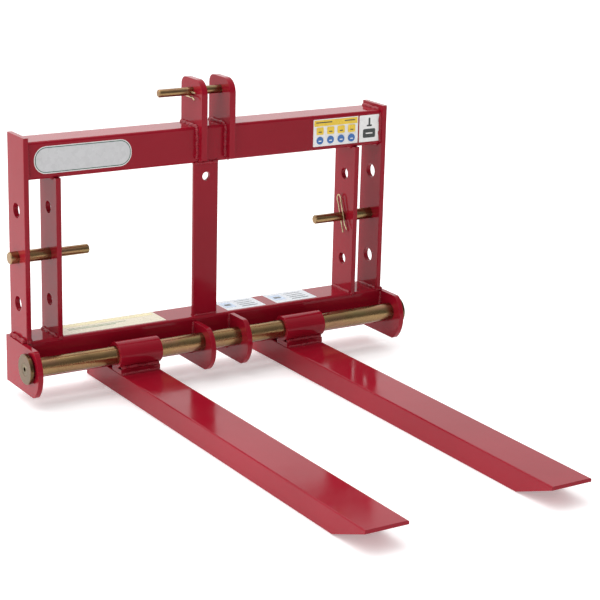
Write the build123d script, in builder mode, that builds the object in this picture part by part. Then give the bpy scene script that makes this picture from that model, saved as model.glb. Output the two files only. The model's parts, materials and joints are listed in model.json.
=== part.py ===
from build123d import *
import math
import os

# Pallet fork attachment for a three-point hitch.  Millimetres.
# X runs across the frame, +Y points back to the tractor, +Z is up.  The origin is on the
# ground, midway between the fork tips and the fork tails, on the middle plane.

os.makedirs("parts", exist_ok=True)

# ---- overall layout ---------------------------------------------------------------------
OVERALL_LENGTH = 1190.0
FRAME_WIDTH = 960.0
BACK_Y = OVERALL_LENGTH / 2
TIP_Y = -OVERALL_LENGTH / 2
FRONT_Y = BACK_Y - 120.0

# ---- welded frame -----------------------------------------------------------------------
TUBE_WALL = 4.0
TUBE_CORNER = 6.0
CAP_THICKNESS = 4.0
BOTTOM_BEAM_Z = 53.0
BOTTOM_BEAM_HEIGHT = 89.0
BOTTOM_BEAM_DEPTH = 90.0
TOP_BEAM_Z = 511.0
TOP_BEAM_HEIGHT = 85.0
TOP_BEAM_DEPTH = 80.0
TOP_BEAM_Y = FRONT_Y + 10.0

PLATE_THICKNESS = 12.0
PLATE_DEPTH = 90.0
PLATE_TOP_Z = 608.0
LINK_SLOT = 65.0
EDGE_BREAK = 1.2

LINK_Y = FRONT_Y + 45.0
LINK_Z = 330.0
LINK_PITCH = 108.0
OUTER_SPARE_RADIUS = 17.5
INNER_SPARE_RADIUS = 14.25

POST_X = -18.0
POST_WIDTH = 64.0
POST_THICKNESS = 10.0
POST_HOLE_Z = 478.0
POST_HOLE_RADIUS = 10.0

EAR_THICKNESS = 15.0
LEFT_EAR_X = -42.0
RIGHT_EAR_X = 32.0
EAR_FRONT_Y = FRONT_Y - 10.0
EAR_BACK_Y = FRONT_Y + 90.0
EAR_TOP_Z = 704.5
EAR_FOOT_Z = 519.0

# ---- pivot shaft and its lugs -----------------------------------------------------------
SHAFT_Y = FRONT_Y - 41.0
SHAFT_Z = 94.5
SHAFT_RADIUS = 21.0
SHAFT_FIT = 0.06
SHAFT_END_GAP = 4.0
LUG_THICKNESS = 12.0
LUG_BOTTOM_Z = 29.0
LUG_TOP_Z = 139.0
LUG_BACK_Y = FRONT_Y + 90.0
CENTRE_LUG_INNER_X = 43.0

DISC_RADIUS = 35.0
DISC_THICKNESS = 9.0
DISC_SCREW_RADIUS = 8.0
DISC_SCREW_LENGTH = 40.0
DISC_SCREW_HEAD_RADIUS = 15.0
DISC_SCREW_SOCKET = 10.0

# ---- hitch pins -------------------------------------------------------------------------
FAT_PIN_RADIUS = 14.0
THIN_PIN_RADIUS = 11.0
TOP_PIN_RADIUS = 9.5
TOP_PIN_SEAT_RADIUS = 9.75
PIN_FIT = 0.06
PIN_OUTER_X = 500.5
PIN_INNER_X = 306.0
TOP_PIN_Y = FRONT_Y + 38.0
TOP_PIN_Z = 675.5
TOP_PIN_LEFT_X = -130.0
TOP_PIN_STEP_X = LEFT_EAR_X - 16.0
TOP_PIN_HEAD_RADIUS = 14.0
TOP_PIN_HEAD_LENGTH = 8.0
CLIP_WIRE_RADIUS = 1.7
CLIP_HOLE_RADIUS = 2.1
CLIP_PLATE_GAP = 8.0
END_HOLE_INSET = 20.0
CLIP_TILT = 20.0

# ---- forks ------------------------------------------------------------------------------
FORK_WIDTH = 100.0
FORK_HEIGHT = 52.0
FORK_WALL = 6.0
FORK_TIP_THICKNESS = 8.0
FORK_TAPER = 116.0
FORK_CORNER = 3.0
LEFT_FORK_X = -226.0
RIGHT_FORK_X = 218.0
SLEEVE_RADIUS = 30.5
SLEEVE_LENGTH = 108.0
SLEEVE_FIT = 0.08
PAD_DEPTH = 46.0
PAD_TOP_GAP = 0.3

# ---- derived positions ------------------------------------------------------------------
OUTER_PLATE_X = FRAME_WIDTH / 2 - PLATE_THICKNESS
INNER_PLATE_X = OUTER_PLATE_X - LINK_SLOT - PLATE_THICKNESS
BOTTOM_BEAM_TOP_Z = BOTTOM_BEAM_Z + BOTTOM_BEAM_HEIGHT
TOP_BEAM_TOP_Z = TOP_BEAM_Z + TOP_BEAM_HEIGHT
LUG_OUTER_X = FRAME_WIDTH / 2 + LUG_THICKNESS
SHAFT_END_X = LUG_OUTER_X + SHAFT_END_GAP
SHAFT_BORE = SHAFT_RADIUS + SHAFT_FIT

SIDES = (("left", -1), ("right", 1))


def save(builder, name):
    """Name one sub-part and write its STEP file."""
    builder.part.label = name
    export_step(builder.part, f"parts/{name}.step")


def x_plane(x, y=0.0, z=0.0):
    """A sketch plane facing +X at x: its own x is Y in the frame and its own y is Z."""
    return Plane(origin=(x, y, z), x_dir=(0, 1, 0), z_dir=(1, 0, 0))


def low_x(sign, inner_x, thickness):
    """The lower X face of a plate of this thickness that starts at inner_x on that side."""
    return inner_x if sign > 0 else -inner_x - thickness


# ---- cross beams ------------------------------------------------------------------------
for name, half_length, beam_y, beam_z, depth, height in (
    ("top_beam", OUTER_PLATE_X, TOP_BEAM_Y, TOP_BEAM_Z, TOP_BEAM_DEPTH, TOP_BEAM_HEIGHT),
    ("bottom_beam", FRAME_WIDTH / 2, FRONT_Y, BOTTOM_BEAM_Z, BOTTOM_BEAM_DEPTH, BOTTOM_BEAM_HEIGHT),
):
    section = x_plane(-half_length, beam_y + depth / 2, beam_z + height / 2)
    with BuildPart() as beam:
        with BuildSketch(section):
            RectangleRounded(depth, height, TUBE_CORNER)
            RectangleRounded(
                depth - 2 * TUBE_WALL,
                height - 2 * TUBE_WALL,
                TUBE_CORNER - TUBE_WALL,
                mode=Mode.SUBTRACT,
            )
        extrude(amount=2 * half_length)
    save(beam, name)

# Plates that close the two ends of the top beam, set inside the tube.
for side, sign in SIDES:
    cap_x = low_x(sign, OUTER_PLATE_X - CAP_THICKNESS, CAP_THICKNESS)
    with BuildPart() as cap:
        with BuildSketch(
            x_plane(cap_x, TOP_BEAM_Y + TOP_BEAM_DEPTH / 2, TOP_BEAM_Z + TOP_BEAM_HEIGHT / 2)
        ):
            RectangleRounded(
                TOP_BEAM_DEPTH - 2 * TUBE_WALL,
                TOP_BEAM_HEIGHT - 2 * TUBE_WALL,
                TUBE_CORNER - TUBE_WALL,
            )
        extrude(amount=CAP_THICKNESS)
    save(cap, f"top_beam_cap_{side}")

# ---- side plates ------------------------------------------------------------------------
for side, sign in SIDES:
    for row, inner_x, top_z, spare_radius, pin_radius in (
        ("outer", OUTER_PLATE_X, PLATE_TOP_Z, OUTER_SPARE_RADIUS, FAT_PIN_RADIUS),
        ("inner", INNER_PLATE_X, TOP_BEAM_Z, INNER_SPARE_RADIUS, THIN_PIN_RADIUS),
    ):
        plate_x = low_x(sign, inner_x, PLATE_THICKNESS)
        height = top_z - BOTTOM_BEAM_TOP_Z
        with BuildPart() as plate:
            plate_middle = (FRONT_Y + PLATE_DEPTH / 2, BOTTOM_BEAM_TOP_Z + height / 2)
            with BuildSketch(x_plane(plate_x, *plate_middle)):
                Rectangle(PLATE_DEPTH, height)
            extrude(amount=PLATE_THICKNESS)
            chamfer(plate.edges().filter_by(Axis.Z), EDGE_BREAK)
            with BuildSketch(x_plane(plate_x, LINK_Y, LINK_Z)):
                with Locations((0, LINK_PITCH), (0, -LINK_PITCH)):
                    Circle(spare_radius)
                Circle(pin_radius + PIN_FIT)
            extrude(amount=PLATE_THICKNESS, mode=Mode.SUBTRACT)
        save(plate, f"{row}_plate_{side}")

# ---- centre post ------------------------------------------------------------------------
post_height = TOP_BEAM_Z - BOTTOM_BEAM_TOP_Z
with BuildPart() as centre_post:
    post_middle_z = BOTTOM_BEAM_TOP_Z + post_height / 2
    with Locations((POST_X, TOP_BEAM_Y + POST_THICKNESS / 2, post_middle_z)):
        Box(POST_WIDTH, POST_THICKNESS, post_height)
    chamfer(centre_post.edges().filter_by(Axis.Z), EDGE_BREAK)
    hole_plane = Plane(
        origin=(POST_X, TOP_BEAM_Y, POST_HOLE_Z), x_dir=(1, 0, 0), z_dir=(0, 1, 0)
    )
    with BuildSketch(hole_plane):
        Circle(POST_HOLE_RADIUS)
    extrude(amount=POST_THICKNESS, mode=Mode.SUBTRACT)
save(centre_post, "centre_post")

# ---- top link ears ----------------------------------------------------------------------
# Each ear stands on the top beam and laps down over its front face.
for side, ear_x in (("left", LEFT_EAR_X), ("right", RIGHT_EAR_X)):
    with BuildPart() as ear:
        with BuildSketch(x_plane(ear_x)):
            with BuildLine():
                Polyline(
                    (EAR_BACK_Y, TOP_BEAM_TOP_Z),
                    (EAR_BACK_Y, EAR_TOP_Z),
                    (EAR_FRONT_Y, EAR_TOP_Z),
                    (EAR_FRONT_Y, EAR_FOOT_Z),
                    (TOP_BEAM_Y, EAR_FOOT_Z),
                    (TOP_BEAM_Y, TOP_BEAM_TOP_Z),
                    close=True,
                )
            make_face()
        extrude(amount=EAR_THICKNESS)
        top_corners = ear.edges().filter_by(Axis.X).group_by(Axis.Z)[-1].sort_by(Axis.Y)
        fillet(top_corners[0], 34)
        top_corners = ear.edges().filter_by(Axis.X).group_by(Axis.Z)[-1].sort_by(Axis.Y)
        fillet(top_corners[-1], 20)
        with BuildSketch(x_plane(ear_x, TOP_PIN_Y, TOP_PIN_Z)):
            Circle(TOP_PIN_SEAT_RADIUS + PIN_FIT)
        extrude(amount=EAR_THICKNESS, mode=Mode.SUBTRACT)
    save(ear, f"top_link_ear_{side}")

# ---- shaft lugs -------------------------------------------------------------------------
# An end lug covers the open end of the bottom beam and stands behind it.
for side, sign in SIDES:
    lug_x = low_x(sign, FRAME_WIDTH / 2, LUG_THICKNESS)
    with BuildPart() as end_lug:
        with BuildSketch(x_plane(lug_x)):
            with BuildLine():
                Polyline(
                    (FRONT_Y - 60, LUG_BOTTOM_Z),
                    (LUG_BACK_Y, LUG_BOTTOM_Z),
                    (LUG_BACK_Y, LUG_TOP_Z),
                    (FRONT_Y - 64, LUG_TOP_Z),
                )
                ThreePointArc(
                    (FRONT_Y - 64, LUG_TOP_Z),
                    (FRONT_Y - 88, LUG_TOP_Z - 50),
                    (FRONT_Y - 60, LUG_BOTTOM_Z),
                )
            make_face()
        extrude(amount=LUG_THICKNESS)
        fillet(end_lug.edges().filter_by(Axis.X).group_by(Axis.Z)[-1].sort_by(Axis.Y)[0], 16)
        fillet(end_lug.edges().filter_by(Axis.X).group_by(Axis.Z)[0].sort_by(Axis.Y)[0], 14)
        with BuildSketch(x_plane(lug_x, SHAFT_Y, SHAFT_Z)):
            Circle(SHAFT_BORE)
        extrude(amount=LUG_THICKNESS, mode=Mode.SUBTRACT)
    save(end_lug, f"end_lug_{side}")

# A centre lug meets the front of the bottom beam and runs back under it.  The left one has
# a lower top edge with a rounded front corner.
for side, sign, top_z, corner in (("left", -1, 132.0, 36.0), ("right", 1, LUG_TOP_Z, 18.0)):
    lug_x = low_x(sign, CENTRE_LUG_INNER_X, LUG_THICKNESS)
    with BuildPart() as centre_lug:
        with BuildSketch(x_plane(lug_x)):
            with BuildLine():
                Polyline(
                    (FRONT_Y - 60, LUG_BOTTOM_Z),
                    (FRONT_Y + BOTTOM_BEAM_DEPTH - TUBE_CORNER, LUG_BOTTOM_Z),
                    (FRONT_Y + BOTTOM_BEAM_DEPTH - TUBE_CORNER, BOTTOM_BEAM_Z),
                    (FRONT_Y, BOTTOM_BEAM_Z),
                    (FRONT_Y, top_z),
                    (FRONT_Y - 66, top_z),
                )
                ThreePointArc(
                    (FRONT_Y - 66, top_z),
                    (FRONT_Y - 92, LUG_TOP_Z - 54),
                    (FRONT_Y - 60, LUG_BOTTOM_Z),
                )
            make_face()
        extrude(amount=LUG_THICKNESS)
        upright_edges = centre_lug.edges().filter_by(Axis.X)
        fillet(upright_edges.group_by(Axis.Z)[-1].sort_by(Axis.Y)[0], corner)
        fillet(centre_lug.edges().filter_by(Axis.X).group_by(Axis.Z)[0].sort_by(Axis.Y)[0], 14)
        with BuildSketch(x_plane(lug_x, SHAFT_Y, SHAFT_Z)):
            Circle(SHAFT_BORE)
        extrude(amount=LUG_THICKNESS, mode=Mode.SUBTRACT)
    save(centre_lug, f"centre_lug_{side}")

# ---- pivot shaft, with a retaining disc and a countersunk screw at each end ---------------
with BuildPart() as pivot_shaft:
    with BuildSketch(x_plane(-SHAFT_END_X, SHAFT_Y, SHAFT_Z)):
        Circle(SHAFT_RADIUS)
    extrude(amount=2 * SHAFT_END_X)
    chamfer(pivot_shaft.edges().filter_by(GeomType.CIRCLE), EDGE_BREAK)
    for side, sign in SIDES:
        hole_start = low_x(sign, SHAFT_END_X - DISC_SCREW_LENGTH, DISC_SCREW_LENGTH)
        with BuildSketch(x_plane(hole_start, SHAFT_Y, SHAFT_Z)):
            Circle(DISC_SCREW_RADIUS + 0.05)
        extrude(amount=DISC_SCREW_LENGTH, mode=Mode.SUBTRACT)
save(pivot_shaft, "pivot_shaft")

HEAD_DEPTH = DISC_SCREW_HEAD_RADIUS - DISC_SCREW_RADIUS
for side, sign in SIDES:
    out = Vector(sign, 0, 0)
    disc_face = Plane(origin=(sign * SHAFT_END_X, SHAFT_Y, SHAFT_Z), x_dir=(0, 1, 0), z_dir=out)
    with BuildPart() as disc:
        with BuildSketch(disc_face):
            Circle(DISC_RADIUS)
        extrude(amount=DISC_THICKNESS)
        chamfer(disc.edges().filter_by(GeomType.CIRCLE), 1.0)
        with BuildSketch(disc_face):
            Circle(DISC_SCREW_RADIUS + 0.4)
        extrude(amount=DISC_THICKNESS, mode=Mode.SUBTRACT)
        with BuildSketch(disc_face.offset(DISC_THICKNESS)):
            Circle(DISC_SCREW_HEAD_RADIUS + 0.4)
        with BuildSketch(disc_face.offset(DISC_THICKNESS - HEAD_DEPTH)):
            Circle(DISC_SCREW_RADIUS + 0.4)
        loft(mode=Mode.SUBTRACT)
    save(disc, f"retaining_disc_{side}")

    head_face = disc_face.offset(DISC_THICKNESS - 0.3)
    with BuildPart() as screw:
        with BuildSketch(disc_face.offset(-DISC_SCREW_LENGTH + 6)):
            Circle(DISC_SCREW_RADIUS)
        extrude(amount=DISC_SCREW_LENGTH - 6 + DISC_THICKNESS - 0.3 - HEAD_DEPTH)
        with BuildSketch(head_face):
            Circle(DISC_SCREW_HEAD_RADIUS)
        with BuildSketch(head_face.offset(-HEAD_DEPTH)):
            Circle(DISC_SCREW_RADIUS)
        loft()
        with BuildSketch(head_face):
            RegularPolygon(DISC_SCREW_SOCKET / math.sqrt(3), 6)
        extrude(amount=-6, mode=Mode.SUBTRACT)
    save(screw, f"disc_screw_{side}")

# ---- lower link pins ----------------------------------------------------------------------
# The fat part sits in the outer plate and the slot, and the thin part goes through the inner
# plate, so the step bears on the inner plate.  Two cross holes take a clip.
STEP_X = INNER_PLATE_X + PLATE_THICKNESS
for side, sign in SIDES:
    outer_face = Plane(
        origin=(sign * PIN_OUTER_X, LINK_Y, LINK_Z), x_dir=(0, 1, 0), z_dir=(-sign, 0, 0)
    )
    with BuildPart() as lower_pin:
        with BuildSketch(outer_face):
            Circle(FAT_PIN_RADIUS)
        extrude(amount=PIN_OUTER_X - STEP_X - 0.3)
        with BuildSketch(outer_face):
            Circle(THIN_PIN_RADIUS)
        extrude(amount=PIN_OUTER_X - PIN_INNER_X)
        chamfer(lower_pin.edges().filter_by(GeomType.CIRCLE).sort_by(Axis.X)[0], 2.0)
        chamfer(lower_pin.edges().filter_by(GeomType.CIRCLE).sort_by(Axis.X)[-1], 2.0)
        for hole_x in (INNER_PLATE_X - CLIP_PLATE_GAP, PIN_INNER_X + END_HOLE_INSET):
            with Locations(Location((sign * hole_x, LINK_Y, LINK_Z), (-CLIP_TILT, 0, 0))):
                Cylinder(CLIP_HOLE_RADIUS, 4 * FAT_PIN_RADIUS, mode=Mode.SUBTRACT)
    save(lower_pin, f"lower_pin_{side}")

# ---- top link pin -------------------------------------------------------------------------
# The ears hold the seat, and the free end past the clip is a shade thinner.
PIN_HEAD_X = RIGHT_EAR_X + EAR_THICKNESS + 0.5
TOP_CLIP_X = LEFT_EAR_X - CLIP_PLATE_GAP
with BuildPart() as top_pin:
    for start_x, end_x, radius in (
        (TOP_PIN_LEFT_X, TOP_PIN_STEP_X, TOP_PIN_RADIUS),
        (TOP_PIN_STEP_X, PIN_HEAD_X, TOP_PIN_SEAT_RADIUS),
        (PIN_HEAD_X, PIN_HEAD_X + TOP_PIN_HEAD_LENGTH, TOP_PIN_HEAD_RADIUS),
    ):
        with BuildSketch(x_plane(start_x, TOP_PIN_Y, TOP_PIN_Z)):
            Circle(radius)
        extrude(amount=end_x - start_x)
    chamfer(top_pin.edges().filter_by(GeomType.CIRCLE).sort_by(Axis.X)[0], 2.0)
    chamfer(top_pin.edges().filter_by(GeomType.CIRCLE).sort_by(Axis.X)[-1], 1.0)
    with Locations(Location((TOP_CLIP_X, TOP_PIN_Y, TOP_PIN_Z), (90, 0, 0))):
        Cylinder(CLIP_HOLE_RADIUS, 4 * TOP_PIN_RADIUS, mode=Mode.SUBTRACT)
save(top_pin, "top_pin")

# ---- hairpin clips ------------------------------------------------------------------------
# Each clip is one bent wire.  Its straight leg goes through the pin, its other leg runs
# outside the pin, and the head is a round loop.
for name, plane, pin_radius, leg, head in (
    (
        "lower_pin_clip",
        Plane(
            origin=(INNER_PLATE_X - CLIP_PLATE_GAP, LINK_Y, LINK_Z),
            x_dir=(0, math.cos(math.radians(CLIP_TILT)), -math.sin(math.radians(CLIP_TILT))),
            z_dir=(1, 0, 0),
        ),
        THIN_PIN_RADIUS,
        40.0,
        34.0,
    ),
    (
        "top_pin_clip",
        Plane(origin=(TOP_CLIP_X, TOP_PIN_Y, TOP_PIN_Z), x_dir=(0, 0, 1), z_dir=(-1, 0, 0)),
        TOP_PIN_SEAT_RADIUS,
        30.0,
        22.0,
    ),
):
    reach = pin_radius + CLIP_WIRE_RADIUS + 0.5
    with BuildPart() as clip:
        with BuildLine(plane) as wire:
            FilletPolyline(
                (0, -leg),
                (0, head),
                (1.5, head + 9),
                (-0.5, head + 17),
                (-reach / 2, head + 20),
                (-reach + 0.5, head + 17),
                (-reach - 1.5, head + 9),
                (-reach, head),
                (-reach, -leg * 0.55),
                (-reach - 5, -leg * 0.9),
                radius=4.0,
            )
        with BuildSketch(Plane(origin=wire.line @ 0, z_dir=wire.line % 0)):
            Circle(CLIP_WIRE_RADIUS)
        sweep()
    save(clip, name)

# ---- forks --------------------------------------------------------------------------------
taper_y = TIP_Y + FORK_TAPER
tip_bottom = FORK_HEIGHT - FORK_TIP_THICKNESS
slope = tip_bottom / FORK_TAPER
pad_height = SHAFT_Z - SLEEVE_RADIUS - PAD_TOP_GAP - FORK_HEIGHT
cavity_tip_y = TIP_Y + 24.0
nose_low_y = taper_y - FORK_WALL / slope
nose_high_z = (taper_y - cavity_tip_y) * slope
nose_rise = FORK_WALL * math.hypot(1, slope)

for side, fork_x in (("left", LEFT_FORK_X), ("right", RIGHT_FORK_X)):
    low_face = fork_x - FORK_WIDTH / 2

    # Rectangular tube with its underside cut to a slope at the tip.
    with BuildPart() as fork_beam:
        with BuildSketch(x_plane(low_face)):
            with BuildLine():
                Polyline(
                    (BACK_Y - FORK_WALL, 0),
                    (taper_y, 0),
                    (TIP_Y, tip_bottom),
                    (TIP_Y, FORK_HEIGHT),
                    (BACK_Y - FORK_WALL, FORK_HEIGHT),
                    close=True,
                )
            make_face()
        extrude(amount=FORK_WIDTH)
        long_edges = fork_beam.edges().filter_by(Axis.Y)
        fillet(long_edges, FORK_CORNER)
        with BuildSketch(x_plane(low_face + FORK_WALL)):
            with Locations(((BACK_Y + cavity_tip_y) / 2, FORK_HEIGHT / 2)):
                Rectangle(BACK_Y - cavity_tip_y, FORK_HEIGHT - 2 * FORK_WALL)
        extrude(amount=FORK_WIDTH - 2 * FORK_WALL, mode=Mode.SUBTRACT)
    save(fork_beam, f"fork_beam_{side}")

    # Sloping plate that closes the cut underside, set between the side walls.
    with BuildPart() as nose:
        with BuildSketch(x_plane(low_face + FORK_WALL)):
            with BuildLine():
                Polyline(
                    (nose_low_y, FORK_WALL),
                    (cavity_tip_y, nose_high_z),
                    (cavity_tip_y, nose_high_z + nose_rise),
                    (nose_low_y, FORK_WALL + nose_rise),
                    close=True,
                )
            make_face()
        extrude(amount=FORK_WIDTH - 2 * FORK_WALL)
    save(nose, f"fork_nose_{side}")

    with BuildPart() as tail_cap:
        tail_face = Plane(
            origin=(fork_x, BACK_Y - FORK_WALL, FORK_HEIGHT / 2), x_dir=(-1, 0, 0), z_dir=(0, 1, 0)
        )
        with BuildSketch(tail_face):
            RectangleRounded(FORK_WIDTH, FORK_HEIGHT, FORK_CORNER)
        extrude(amount=FORK_WALL)
    save(tail_cap, f"fork_tail_cap_{side}")

    # Packer between the fork and its sleeve.
    with BuildPart() as pad:
        with Locations((fork_x, SHAFT_Y, FORK_HEIGHT + pad_height / 2)):
            Box(FORK_WIDTH, PAD_DEPTH, pad_height)
    save(pad, f"fork_pad_{side}")

    # Sleeve that slides along the shaft.
    with BuildPart() as sleeve:
        with BuildSketch(x_plane(fork_x - SLEEVE_LENGTH / 2, SHAFT_Y, SHAFT_Z)):
            Circle(SLEEVE_RADIUS)
            Circle(SHAFT_RADIUS + SLEEVE_FIT, mode=Mode.SUBTRACT)
        extrude(amount=SLEEVE_LENGTH)
        chamfer(sleeve.edges().filter_by(GeomType.CIRCLE), 0.8)
    save(sleeve, f"fork_sleeve_{side}")
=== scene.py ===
import json
import math

import bmesh
import bpy
from mathutils import Matrix, Vector, noise


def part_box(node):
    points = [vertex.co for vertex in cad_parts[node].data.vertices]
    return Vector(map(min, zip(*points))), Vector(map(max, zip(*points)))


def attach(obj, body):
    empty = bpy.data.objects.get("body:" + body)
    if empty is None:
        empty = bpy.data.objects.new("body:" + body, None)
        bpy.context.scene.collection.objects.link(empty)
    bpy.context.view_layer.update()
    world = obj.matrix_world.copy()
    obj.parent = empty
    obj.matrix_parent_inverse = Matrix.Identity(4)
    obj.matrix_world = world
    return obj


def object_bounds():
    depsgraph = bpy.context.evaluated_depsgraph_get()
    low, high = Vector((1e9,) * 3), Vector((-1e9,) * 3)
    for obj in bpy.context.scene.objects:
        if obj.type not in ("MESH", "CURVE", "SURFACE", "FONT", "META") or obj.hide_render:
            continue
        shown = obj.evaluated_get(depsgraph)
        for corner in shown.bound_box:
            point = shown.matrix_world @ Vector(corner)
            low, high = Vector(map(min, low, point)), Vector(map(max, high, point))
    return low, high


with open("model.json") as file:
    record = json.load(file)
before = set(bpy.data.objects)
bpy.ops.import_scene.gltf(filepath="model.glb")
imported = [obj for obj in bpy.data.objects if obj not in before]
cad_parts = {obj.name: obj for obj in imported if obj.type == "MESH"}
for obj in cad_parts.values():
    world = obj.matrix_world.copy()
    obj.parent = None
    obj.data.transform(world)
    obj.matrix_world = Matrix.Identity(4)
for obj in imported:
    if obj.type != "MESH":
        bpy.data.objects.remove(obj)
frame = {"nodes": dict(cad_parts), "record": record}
cad_low, cad_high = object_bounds()
nodes = frame["nodes"]

MM = 0.001
SIDES = ("left", "right")


# ---- camera, light and floor --------------------------------------------------------------
def make_camera():
    """A long lens from the front left and a little above, turned slightly about its own axis."""
    azimuth, elevation, roll = (math.radians(a) for a in (-32.17, 16.44, 1.43))
    place = Vector((-2.069, -3.1993, 1.4254))
    back = Vector(
        (
            math.sin(azimuth) * math.cos(elevation),
            -math.cos(azimuth) * math.cos(elevation),
            math.sin(elevation),
        )
    )
    level_right = Vector((math.cos(azimuth), math.sin(azimuth), 0))
    level_up = back.cross(level_right)
    right = math.cos(roll) * level_right + math.sin(roll) * level_up
    up = back.cross(right)
    data = bpy.data.cameras.new("camera")
    data.sensor_width = 36.0
    data.lens = 110.95
    camera = bpy.data.objects.new("camera", data)
    camera.matrix_world = Matrix(
        (
            (right.x, up.x, back.x, place.x),
            (right.y, up.y, back.y, place.y),
            (right.z, up.z, back.z, place.z),
            (0, 0, 0, 1),
        )
    )
    bpy.context.scene.collection.objects.link(camera)
    bpy.context.scene.camera = camera


def make_softbox(name, location, aim, width, height, power):
    """A rectangular area light that points at aim."""
    data = bpy.data.lights.new(name, "AREA")
    data.shape = "RECTANGLE"
    data.size = width
    data.size_y = height
    data.energy = power
    light = bpy.data.objects.new(name, data)
    light.location = location
    direction = Vector(aim) - Vector(location)
    light.rotation_euler = direction.to_track_quat("-Z", "Y").to_euler()
    bpy.context.scene.collection.objects.link(light)


def make_world():
    """White studio surroundings, brighter behind, above and to the left than in front."""
    brightest_towards = Vector((-0.45, 0.8, 0.4)).normalized()
    dim, bright = 0.28, 1.4
    world = bpy.data.worlds.new("studio")
    bpy.context.scene.world = world
    world.use_nodes = True
    tree = world.node_tree
    background = tree.nodes["Background"]
    background.inputs["Color"].default_value = (1, 1, 1, 1)
    direction = tree.nodes.new("ShaderNodeTexCoord")
    towards = tree.nodes.new("ShaderNodeVectorMath")
    towards.operation = "DOT_PRODUCT"
    towards.inputs[1].default_value = brightest_towards
    fade = tree.nodes.new("ShaderNodeMapRange")
    fade.interpolation_type = "SMOOTHSTEP"
    fade.inputs["From Min"].default_value = -0.7
    fade.inputs["From Max"].default_value = 0.7
    fade.inputs["To Min"].default_value = dim
    fade.inputs["To Max"].default_value = bright
    tree.links.new(direction.outputs["Generated"], towards.inputs[0])
    tree.links.new(towards.outputs["Value"], fade.inputs["Value"])
    tree.links.new(fade.outputs["Result"], background.inputs["Strength"])


def make_floor():
    """A white floor just under the forks, wide enough that its edge is never seen."""
    radius = 300.0
    gap = 0.3 * MM
    mesh = bpy.data.meshes.new("floor")
    shape = bmesh.new()
    bmesh.ops.create_circle(shape, cap_ends=True, segments=96, radius=radius)
    shape.to_mesh(mesh)
    shape.free()
    floor = bpy.data.objects.new("floor", mesh)
    floor.location.z = cad_low.z - gap
    bpy.context.scene.collection.objects.link(floor)
    material = bpy.data.materials.new("floor")
    material.use_nodes = True
    bsdf = material.node_tree.nodes["Principled BSDF"]
    bsdf.inputs["Base Color"].default_value = (0.9, 0.9, 0.9, 1)
    bsdf.inputs["Roughness"].default_value = 0.7
    bsdf.inputs["Emission Color"].default_value = (1, 1, 1, 1)
    bsdf.inputs["Emission Strength"].default_value = 0.32
    mesh.materials.append(material)


# ---- materials ----------------------------------------------------------------------------
class Material:
    """A node material with a few short ways to add and join nodes."""

    def __init__(self, name):
        self.material = bpy.data.materials.new(name)
        self.material.use_nodes = True
        self.tree = self.material.node_tree
        self.bsdf = self.tree.nodes["Principled BSDF"]
        self.place = self.tree.nodes.new("ShaderNodeTexCoord").outputs["Object"]

    def join(self, source, target):
        """Links one node's output to another's input."""
        self.tree.links.new(source, target)

    def noise(self, scale, detail=3.0, stretch=(1, 1, 1)):
        """Noise in the object's own metres, from 0 to 1."""
        mapping = self.tree.nodes.new("ShaderNodeMapping")
        mapping.inputs["Scale"].default_value = stretch
        texture = self.tree.nodes.new("ShaderNodeTexNoise")
        texture.inputs["Scale"].default_value = scale
        texture.inputs["Detail"].default_value = detail
        self.join(self.place, mapping.inputs["Vector"])
        self.join(mapping.outputs["Vector"], texture.inputs["Vector"])
        return texture.outputs["Fac"]

    def remap(self, value, from_low, from_high, to_low, to_high):
        """Stretches and clamps a value from one range to another."""
        node = self.tree.nodes.new("ShaderNodeMapRange")
        for socket, number in (
            ("From Min", from_low),
            ("From Max", from_high),
            ("To Min", to_low),
            ("To Max", to_high),
        ):
            node.inputs[socket].default_value = number
        self.join(value, node.inputs["Value"])
        return node.outputs["Result"]

    def multiply(self, first, second):
        """The product of two values."""
        node = self.tree.nodes.new("ShaderNodeMath")
        node.operation = "MULTIPLY"
        self.join(first, node.inputs[0])
        self.join(second, node.inputs[1])
        return node.outputs["Value"]

    def mix(self, share, first, second):
        """Mixes two colours, each a tuple or a socket, by a share from 0 to 1."""
        node = self.tree.nodes.new("ShaderNodeMix")
        node.data_type = "RGBA"
        self.join(share, node.inputs["Factor"])
        for socket, colour in ((node.inputs[6], first), (node.inputs[7], second)):
            if isinstance(colour, tuple):
                socket.default_value = (*colour, 1)
            else:
                self.join(colour, socket)
        return node.outputs[2]

    def soft_edges(self, radius):
        """A normal rounded over edges, and a mask that is 1 on an edge."""
        bevel = self.tree.nodes.new("ShaderNodeBevel")
        bevel.samples = 6
        bevel.inputs["Radius"].default_value = radius
        geometry = self.tree.nodes.new("ShaderNodeNewGeometry")
        dot = self.tree.nodes.new("ShaderNodeVectorMath")
        dot.operation = "DOT_PRODUCT"
        self.join(bevel.outputs["Normal"], dot.inputs[0])
        self.join(geometry.outputs["Normal"], dot.inputs[1])
        mask = self.remap(dot.outputs["Value"], 0.99, 0.75, 0, 1)
        return bevel.outputs["Normal"], mask

    def bump(self, height, strength, distance, normal=None):
        """A normal roughened by a height, on top of another normal if one is given."""
        node = self.tree.nodes.new("ShaderNodeBump")
        node.inputs["Strength"].default_value = strength
        node.inputs["Distance"].default_value = distance
        self.join(height, node.inputs["Height"])
        if normal is not None:
            self.join(normal, node.inputs["Normal"])
        return node.outputs["Normal"]

    def finish(self, colour, roughness, normal, **constants):
        """Joins the results to the shader, and sets its other sockets by name."""
        self.join(colour, self.bsdf.inputs["Base Color"])
        self.join(roughness, self.bsdf.inputs["Roughness"])
        self.join(normal, self.bsdf.inputs["Normal"])
        for socket, number in constants.items():
            self.bsdf.inputs[socket.replace("_", " ")].default_value = number
        return self.material


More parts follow.
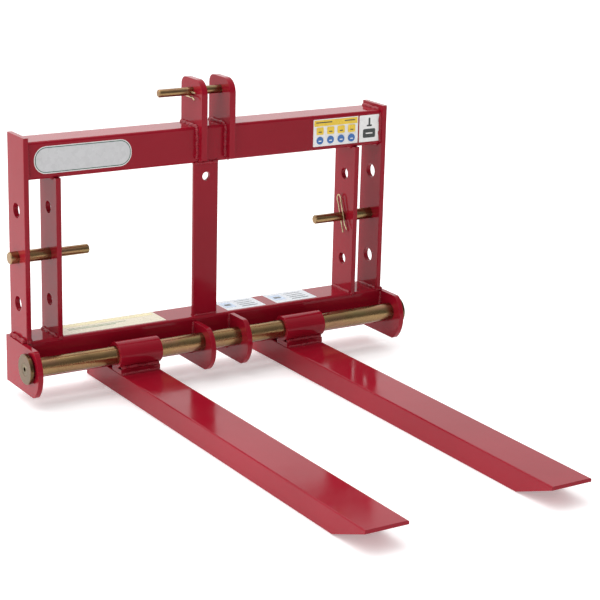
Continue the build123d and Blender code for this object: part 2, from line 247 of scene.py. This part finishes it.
def make_paint(name, peel, gloss):
    """Thick glossy red paint, slightly wavy, paler along the edges as a painted highlight."""
    m = Material(name)
    normal, edge = m.soft_edges(1.6 * MM)
    patches = m.remap(m.noise(2.5, 4.0), 0.35, 0.65, 0, 1)
    colour = m.mix(patches, (0.30, 0.006, 0.019), (0.25, 0.005, 0.015))
    specks = m.remap(m.noise(900.0, 1.0), 0.66, 0.74, 0, 0.3)
    colour = m.mix(specks, colour, (0.33, 0.016, 0.030))
    # Painted highlight: a paler red along the edges, broken up by noise.
    wear_and_sheen = m.multiply(edge, m.remap(m.noise(90.0, 4.0), 0.40, 0.62, 0.1, 0.75))
    colour = m.mix(wear_and_sheen, colour, (0.40, 0.040, 0.058))
    roughness = m.remap(m.noise(14.0, 5.0), 0.3, 0.7, 0.07, 0.17)
    waves = m.bump(m.noise(22.0, 1.0), 0.35, 0.35 * MM, normal)
    fine = m.bump(m.noise(420.0, 2.0), peel, 0.15 * MM, waves)
    return m.finish(colour, roughness, fine, Specular_IOR_Level=gloss)


def make_zinc(name, shade):
    """Turned steel with yellow zinc: bronze, with pink and green drifts and dark stains, and a
    painted highlight of lighter bronze along the edges.
    """

    # tone scales a colour by shade, so a low shade makes a darker copy of the zinc that paints
    # shade.
    def tone(*colour):
        return tuple(shade * c for c in colour)

    m = Material(name)
    normal, edge = m.soft_edges(0.9 * MM)
    drift = m.remap(m.noise(9.0, 4.0, (1, 3, 3)), 0.3, 0.7, 0, 1)
    colour = m.mix(drift, tone(0.34, 0.21, 0.095), tone(0.26, 0.165, 0.078))
    pink = m.remap(m.noise(22.0, 3.0, (0.5, 2, 2)), 0.48, 0.72, 0, 0.65)
    colour = m.mix(pink, colour, tone(0.36, 0.17, 0.12))
    green = m.remap(m.noise(17.0, 3.0, (0.7, 2, 2)), 0.55, 0.75, 0, 0.45)
    colour = m.mix(green, colour, tone(0.20, 0.21, 0.09))
    stain = m.remap(m.noise(38.0, 6.0, (0.4, 2, 2)), 0.56, 0.72, 0, 0.4)
    colour = m.mix(stain, colour, tone(0.095, 0.058, 0.032))
    # Painted highlight: a lighter bronze along the edges.
    bright = m.multiply(edge, m.remap(m.noise(160.0, 3.0), 0.4, 0.6, 0.3, 1))
    colour = m.mix(bright, colour, tone(0.52, 0.40, 0.24))
    roughness = m.remap(m.noise(30.0, 5.0), 0.3, 0.7, 0.17, 0.34)
    turned = m.bump(m.noise(60.0, 3.0, (9, 0.6, 0.6)), 0.18, 0.03 * MM, normal)
    pits = m.bump(m.noise(600.0, 3.0), 0.15, 0.05 * MM, turned)
    return m.finish(colour, roughness, pits, Metallic=1.0)


def make_plain_metal(name, light, dark, rough):
    """Bare plated metal with soft stains, for the screws and the wire."""
    m = Material(name)
    normal, edge = m.soft_edges(0.5 * MM)
    stain = m.remap(m.noise(120.0, 5.0), 0.35, 0.7, 0, 1)
    colour = m.mix(stain, light, dark)
    colour = m.mix(m.multiply(edge, edge), colour, light)
    roughness = m.remap(m.noise(200.0, 3.0), 0.3, 0.7, rough - 0.08, rough + 0.08)
    fine = m.bump(m.noise(900.0, 2.0), 0.2, 0.03 * MM, normal)
    return m.finish(colour, roughness, fine, Metallic=1.0)


def make_vinyl(name, colour):
    """Printed label film, a little uneven and scuffed."""
    m = Material(name)
    darker = tuple(0.94 * c for c in colour)
    wear_and_sheen = m.remap(m.noise(45.0, 5.0), 0.35, 0.7, 0, 1)
    tone = m.mix(wear_and_sheen, colour, darker)
    roughness = m.remap(m.noise(80.0, 4.0), 0.3, 0.7, 0.2, 0.36)
    ripple = m.bump(m.noise(60.0, 2.0), 0.2, 0.1 * MM)
    return m.finish(tone, roughness, ripple)


# ---- pieces -------------------------------------------------------------------------------
def add_piece(name, mesh, body):
    """A new object that rides on a body."""
    piece = bpy.data.objects.new(name, mesh)
    bpy.context.scene.collection.objects.link(piece)
    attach(piece, body)
    return piece


def box_mm(node):
    """A node's lowest and highest corner in millimetres."""
    low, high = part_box(node)
    return low / MM, high / MM


# ---- weld beads, in millimetres -----------------------------------------------------------
# Radius of the top beam's long edges.
TUBE_CORNER = 6.0

# A bead's rings are a step apart.  A ripple repeats after so many rings.
BEAD_STEP = 1.1
BEAD_SIDES = 10
RIPPLE_STEPS = 4.3
BEAD_DRIFT = 1.3
# Vector noise starts from the clock unless it is seeded.
BEAD_SEED = 7

# Radius of each bead.
EAR_BEAD = 6.0
PLATE_BEAD = 5.2
END_LUG_BEAD = 5.8
CENTRE_LUG_BEAD = 4.4
POST_BEAD = 4.0
PAD_BEAD = 5.4
TAIL_BEAD = 1.6


def walk(path, step):
    """Points a step apart along a polyline."""
    points = []
    for start, end in zip(path, path[1:]):
        count = max(1, round((end - start).length / step))
        points += [start.lerp(end, i / count) for i in range(count)]
    return points + [path[-1]]


def add_bead(shape, path, radius):
    """Adds one weld bead along a path: overlapping ripples, thinner at both ends."""
    points = walk([Vector(p) * MM for p in path], BEAD_STEP * MM)
    last = len(points) - 1
    rings = []
    for i, point in enumerate(points):
        tangent = (points[min(i + 1, last)] - points[max(i - 1, 0)]).normalized()
        side = tangent.orthogonal().normalized()
        other = tangent.cross(side)
        ripple = 0.82 + 0.30 * abs(math.sin(math.pi * i / RIPPLE_STEPS))
        swell = 1 + 0.42 * noise.noise(point * 95)
        taper = min(1.0, 0.55 + 0.15 * min(i, last - i))
        drift = noise.noise_vector(point * 80) * BEAD_DRIFT * MM
        size = radius * MM * ripple * swell * taper
        ring = []
        for k in range(BEAD_SIDES):
            angle = 2 * math.pi * k / BEAD_SIDES
            offset = side * math.cos(angle) + other * math.sin(angle)
            ring.append(shape.verts.new(point + drift + offset * size))
        rings.append(ring)
    for first, second in zip(rings, rings[1:]):
        for k in range(BEAD_SIDES):
            shape.faces.new((first[k], first[k - 1], second[k - 1], second[k]))
    shape.faces.new(rings[0])
    shape.faces.new(list(reversed(rings[-1])))


def make_welds(name, paths, radius, body):
    """One piece that holds all the beads of a joint."""
    shape = bmesh.new()
    for path in paths:
        add_bead(shape, path, radius)
    bmesh.ops.recalc_face_normals(shape, faces=shape.faces)
    mesh = bpy.data.meshes.new(name)
    shape.to_mesh(mesh)
    shape.free()
    mesh.shade_smooth()
    mesh.materials.append(weld_paint)
    piece = add_piece(name, mesh, body)


def along_x(start, stop, y, z):
    """A straight path from left to right."""
    return [(start, y, z), (stop, y, z)]


def along_y(x, start, stop, z):
    """A straight path from front to back."""
    return [(x, start, z), (x, stop, z)]


def along_z(x, y, start, stop):
    """A straight path from bottom to top."""
    return [(x, y, start), (x, y, stop)]


def weld_ear(side):
    """An ear laps over the top beam: a bead along both its faces, and one across each end."""
    end_inset = 1
    rear_inset = 2
    beam_low, beam_high = box_mm("top_beam")
    low, high = box_mm(f"top_link_ear_{side}")
    outline = [(high.y - rear_inset, beam_high.z)]
    for step in range(6):
        angle = math.radians(90 + 18 * step)
        y = beam_low.y + TUBE_CORNER + TUBE_CORNER * math.cos(angle)
        z = beam_high.z - TUBE_CORNER + TUBE_CORNER * math.sin(angle)
        outline.append((y, z))
    outline.append((beam_low.y, low.z + end_inset))
    paths = [[(x, y, z) for y, z in outline] for x in (low.x, high.x)]
    for y, z in ((beam_low.y, low.z), (high.y, beam_high.z)):
        paths.append(along_x(low.x + end_inset, high.x - end_inset, y, z))
    make_welds(f"weld_ear_{side}", paths, EAR_BEAD, "frame")


def weld_plate(row, side):
    """A side plate meets both beams.  An outer plate is welded only on the face towards them."""
    foot_inset = 5
    front_inset = TUBE_CORNER + 1
    rear_inset = 2
    edge_inset = 2.6
    edge_drop = 2.2
    beam_low, beam_high = box_mm("top_beam")
    low, high = box_mm(f"{row}_plate_{side}")
    if row == "inner":
        faces = (low.x, high.x)
    elif side == "right":
        faces = (low.x,)
    else:
        faces = (high.x,)
    paths = []
    for x in faces:
        front, rear = beam_low.y + front_inset, high.y - rear_inset
        paths.append(along_y(x, low.y + foot_inset, high.y - foot_inset, low.z))
        paths.append(along_y(x, front, rear, beam_low.z))
        if row == "outer":
            foot, head = beam_low.z + TUBE_CORNER, beam_high.z - TUBE_CORNER
            paths.append(along_z(x, beam_low.y, foot, head))
            paths.append(along_y(x, front, rear, beam_high.z))
    for y in (low.y + edge_inset, high.y - edge_inset):
        paths.append(along_x(low.x, high.x, y, low.z - edge_drop))
    make_welds(f"weld_plate_{row}_{side}", paths, PLATE_BEAD, "frame")


def weld_end_lug(side):
    """An end lug at the bottom beam's end: a bead over its top, and one down the beam's edges."""
    top_shift = 3.0
    top_lift = 2.5
    front_inset = 2
    rear_inset = 10
    corner_inset = TUBE_CORNER + 1
    beam_low, beam_high = box_mm("bottom_beam")
    low, high = box_mm(f"end_lug_{side}")
    if side == "right":
        seam_x, top_x = low.x, low.x + top_shift
    else:
        seam_x, top_x = high.x, high.x - top_shift
    front, rear = beam_low.y + front_inset, high.y - rear_inset
    foot, head = beam_low.z + corner_inset, beam_high.z - corner_inset
    paths = [
        along_y(top_x, front, rear, high.z + top_lift),
        along_z(seam_x, beam_low.y, foot, head),
        along_z(seam_x, beam_high.y, foot, head),
    ]
    make_welds(f"weld_end_lug_{side}", paths, END_LUG_BEAD, "frame")


def weld_centre_lug(side):
    """A centre lug meets the front of the bottom beam and runs back under it."""
    foot_inset = 8
    head_inset = 1
    beam_low = box_mm("bottom_beam")[0]
    low, high = box_mm(f"centre_lug_{side}")
    paths = []
    for x in (low.x, high.x):
        foot, head = beam_low.z + foot_inset, high.z - head_inset
        paths.append(along_z(x, beam_low.y, foot, head))
    # Underneath, only the side that no fork slides past is welded.
    inner_x = low.x if side == "right" else high.x
    paths.append(along_y(inner_x, beam_low.y + foot_inset, high.y, beam_low.z))
    make_welds(f"weld_centre_lug_{side}", paths, CENTRE_LUG_BEAD, "frame")


def weld_centre_post():
    """The centre post stands between the beams, with a bead at the front and back of each end."""
    end_inset = 1
    low, high = box_mm("centre_post")
    paths = []
    for z in (low.z, high.z):
        for y in (low.y, high.y):
            paths.append(along_x(low.x + end_inset, high.x - end_inset, y, z))
    make_welds("weld_centre_post", paths, POST_BEAD, "frame")


def weld_pad(side):
    """A pad carries a sleeve on its fork: beads along its front and back, and under the sleeve."""
    end_inset = 2
    sleeve_reach = 19
    sleeve_lift = 3.6
    low, high = box_mm(f"fork_pad_{side}")
    sleeve_low, sleeve_high = box_mm(f"fork_sleeve_{side}")
    middle_y = (sleeve_low.y + sleeve_high.y) / 2
    lines = [
        (low.y, low.z),
        (high.y, low.z),
        (middle_y - sleeve_reach, high.z + sleeve_lift),
        (middle_y + sleeve_reach, high.z + sleeve_lift),
    ]
    paths = [along_x(low.x + end_inset, high.x - end_inset, y, z) for y, z in lines]
    make_welds(f"weld_pad_{side}", paths, PAD_BEAD, f"fork_{side}")


def weld_tail(side):
    """A cap closes the rear end of a fork, with a thin seam down each side."""
    foot_inset = 5
    head_inset = 4
    low, high = box_mm(f"fork_beam_{side}")
    foot, head = low.z + foot_inset, high.z - head_inset
    paths = [along_z(x, high.y, foot, head) for x in (low.x, high.x)]
    make_welds(f"weld_tail_{side}", paths, TAIL_BEAD, f"fork_{side}")


def make_all_welds():
    """Every bead of the frame, then those of the forks."""
    for side in SIDES:
        weld_ear(side)
        weld_plate("outer", side)
        weld_plate("inner", side)
        weld_end_lug(side)
        weld_centre_lug(side)
    weld_centre_post()
    for side in SIDES:
        weld_pad(side)
        weld_tail(side)


# ---- labels, in millimetres ---------------------------------------------------------------
# Each layer of film is this thick, and starts this far off the face.
FILM = 0.12
FILM_GAP = 0.02

LABEL_COLOURS = {
    "white": (0.80, 0.80, 0.79),
    "silver": (0.58, 0.59, 0.60),
    "ink": (0.025, 0.03, 0.03),
    "yellow": (0.80, 0.55, 0.03),
    "blue": (0.03, 0.14, 0.42),
    "badge_line": (0.02, 0.09, 0.06),
    "green": (0.05, 0.25, 0.12),
    "beige": (0.66, 0.60, 0.44),
    "film_white": (0.62, 0.66, 0.70),
    "soft_ink": (0.20, 0.24, 0.26),
    "pale_yellow": (0.74, 0.66, 0.36),
    "pale_blue": (0.45, 0.56, 0.72),
}


def outline_box(width, height, corner, pointed=0.0):
    """A closed outline about the origin, with round corners and, if asked, pointed short ends."""
    points = []
    for cx, cy, start in ((1, 1, 0), (-1, 1, 90), (-1, -1, 180), (1, -1, 270)):
        for step in range(7):
            angle = math.radians(start + 15 * step)
            x = cx * (width / 2 - corner) + corner * math.cos(angle)
            y = cy * (height / 2 - corner) + corner * math.sin(angle)
            points.append((x + math.copysign(pointed * (1 - abs(2 * y / height)), x), y))
    return points


def make_label(name, origin, across, up, layers):
    """Flat film layers stacked on a face.  A layer is (outline, shift across, shift up, colour)."""
    across, up = Vector(across), Vector(up)
    out = across.cross(up)
    shape = bmesh.new()
    mesh = bpy.data.meshes.new(name)
    for level, (outline, shift_across, shift_up, colour) in enumerate(layers):
        base = Vector(origin) + across * shift_across + up * shift_up
        flat = [base + across * x + up * y for x, y in outline]
        top = [shape.verts.new((point + out * FILM * (level + 1)) * MM) for point in flat]
        foot = [shape.verts.new((point + out * FILM_GAP) * MM) for point in flat]
        faces = [shape.faces.new(top)]
        for i in range(len(top)):
            faces.append(shape.faces.new((foot[i - 1], foot[i], top[i], top[i - 1])))
        film = label_films[colour]
        if film.name not in mesh.materials:
            mesh.materials.append(film)
        index = mesh.materials.find(film.name)
        for face in faces:
            face.material_index = index
    bmesh.ops.recalc_face_normals(shape, faces=shape.faces)
    shape.to_mesh(mesh)
    shape.free()
    add_piece(name, mesh, "frame")


def label_on_front(name, x, layers):
    """A label in the middle of the top beam's front face."""
    low, high = box_mm("top_beam")
    origin = (x, low.y, (low.z + high.z) / 2)
    make_label(name, origin, (1, 0, 0), (0, 0, 1), layers)


def label_on_top(name, x, layers):
    """A label on the bottom beam's upper face, a little behind its middle."""
    rear_shift = 3
    low, high = box_mm("bottom_beam")
    origin = (x, (low.y + high.y) / 2 + rear_shift, high.z)
    make_label(name, origin, (1, 0, 0), (0, 1, 0), layers)


def badge_layers():
    """A long silver badge with a dark line inside a white rim."""
    layers = []
    for inset, colour in ((0, "white"), (2, "badge_line"), (4, "silver")):
        outline = outline_box(234 - 2 * inset, 62 - 2 * inset, 26 - inset, 3)
        layers.append((outline, 0, 0, colour))
    return layers


def symbol_layers():
    """A panel of plain yellow squares over plain blue discs, under a yellow bar."""
    layers = [
        (outline_box(128, 66, 1.5), 0, 0, "white"),
        (outline_box(124, 15, 1), 0, 23.5, "yellow"),
        (outline_box(46, 2.5, 0.8), -34, 25, "ink"),
        (outline_box(30, 2.5, 0.8), 40, 25, "ink"),
    ]
    for column in range(4):
        x = -45 + 30 * column
        layers.append((outline_box(20, 18, 2.5), x, 4.5, "yellow"))
        layers.append((outline_box(9, 2.6, 0.8), x, 2, "ink"))
        layers.append((outline_box(19, 19, 9.4), x, -18.5, "blue"))
        layers.append((outline_box(8, 2.4, 0.8), x, -20, "white"))
    return layers


def mark_layers():
    """A white square with a dark block and a plain stem above it."""
    return [
        (outline_box(58, 66, 1.5), 0, 0, "white"),
        (outline_box(36, 22, 4), 0, -12, "ink"),
        (outline_box(20, 3, 1), 0, -12, "white"),
        (outline_box(5, 18, 1.2), 0, 17, "ink"),
        (outline_box(15, 4, 1.2), 0, 7, "ink"),
    ]


def strip_layers():
    """A long beige film with a pale bar and two thin lines."""
    return [
        (outline_box(266, 74, 1.5), 0, 0, "beige"),
        (outline_box(250, 16, 1), 0, 22, "pale_yellow"),
        (outline_box(150, 1.6, 0.5), -30, 0, "green"),
        (outline_box(120, 1.6, 0.5), -45, -8, "green"),
    ]


def note_layers(width):
    """A pale film with a blue box on the left and four plain lines on the right."""
    layers = [
        (outline_box(width, 74, 1.5), 0, 0, "film_white"),
        (outline_box(width * 0.28, 40, 1), -width * 0.30, 2, "pale_blue"),
        (outline_box(width * 0.16, 12, 1), -width * 0.30, 2, "ink"),
    ]
    for line in range(4):
        bar = outline_box(width * 0.4, 2.2, 0.8)
        layers.append((bar, width * 0.16, 21 - 14 * line, "soft_ink"))
    return layers


def make_labels():
    """Generic labels: three on the top beam's front, three on the bottom beam's upper face."""
    label_on_front("label_badge", -331.5, badge_layers())
    label_on_front("label_symbols", 338.5, symbol_layers())
    label_on_front("label_mark", 435.5, mark_layers())
    label_on_top("label_strip", -254, strip_layers())
    label_on_top("label_note_near", 99, note_layers(106))
    label_on_top("label_note_far", 241, note_layers(115))


# ---- scene --------------------------------------------------------------------------------
make_camera()
make_world()
make_floor()
make_softbox("overhead", (-0.6, 0.9, 3.4), (0, 0, 0.2), 3.6, 3.0, 50)
make_softbox("left_back", (-3.4, 1.8, 1.8), (0, 0.2, 0.3), 2.2, 2.4, 12)
bpy.context.scene.view_settings.view_transform = "Standard"

paint = make_paint("red_paint", 0.10, 0.16)
weld_paint = make_paint("red_paint_weld", 0.25, 0.38)
# The retaining discs get a darker copy of the zinc, which paints shade on them.
shaded_disc_zinc = make_zinc("yellow_zinc_painted_shade", 0.42)
finishes = {
    "red_paint": paint,
    "yellow_zinc": make_zinc("yellow_zinc", 0.95),
    "dark_screw": make_plain_metal("dark_screw", (0.20, 0.15, 0.08), (0.07, 0.05, 0.03), 0.36),
    "bright_wire": make_plain_metal("bright_wire", (0.62, 0.52, 0.32), (0.36, 0.27, 0.14), 0.26),
}
for part in frame["record"]["subparts"]:
    finish = finishes[part["material_slot"]]
    if part["node"].startswith("retaining_disc"):
        finish = shaded_disc_zinc
    for slot in nodes[part["node"]].material_slots:
        slot.material = finish
label_films = {
    name: make_vinyl(f"label_{name}", colour) for name, colour in LABEL_COLOURS.items()
}

noise.seed_set(BEAD_SEED)
make_all_welds()
make_labels()
